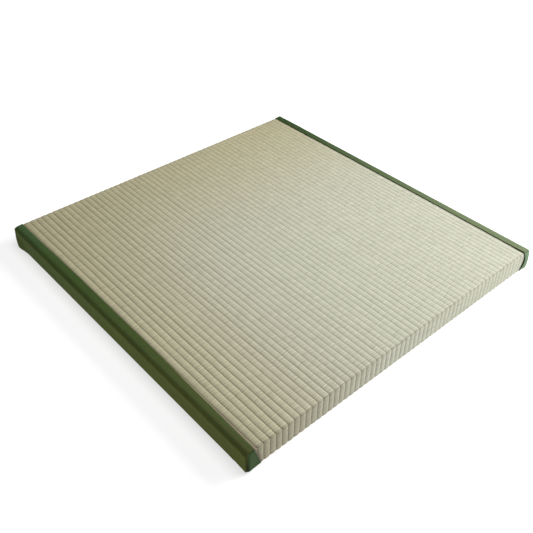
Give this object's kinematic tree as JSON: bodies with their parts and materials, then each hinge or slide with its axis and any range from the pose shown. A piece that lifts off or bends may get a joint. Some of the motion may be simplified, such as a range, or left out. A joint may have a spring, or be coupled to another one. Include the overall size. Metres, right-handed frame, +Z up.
{
  "type": "tatami mat",
  "caption": "Square half tatami: a firm flat mat faced in ribbed woven rush, with green cloth bindings folded over two opposite edges.",
  "frame": {"origin": "middle of the underside, on the floor", "axes": "+Z up; X runs along the two bound edges, with the near unbound end at +X; the front bound edge is at -Y and the back one at +Y"},
  "size_m": [0.884, 0.889, 0.052],
  "materials": {
    "woven_rush": "woven rush in rounded ribs, pale green-beige, dull with a slight sheen along the rushes",
    "binding_cloth_front": "plain-woven cotton cloth, dark green turning olive on the side, matt",
    "binding_cloth_back": "plain-woven cotton cloth, mid green, matt, with a fine cross-woven grain"
  },
  "bodies": {
    "root": {"mat_body": "woven_rush", "binding_front": "binding_cloth_front", "binding_back": "binding_cloth_back"}
  },
  "joints": []
}
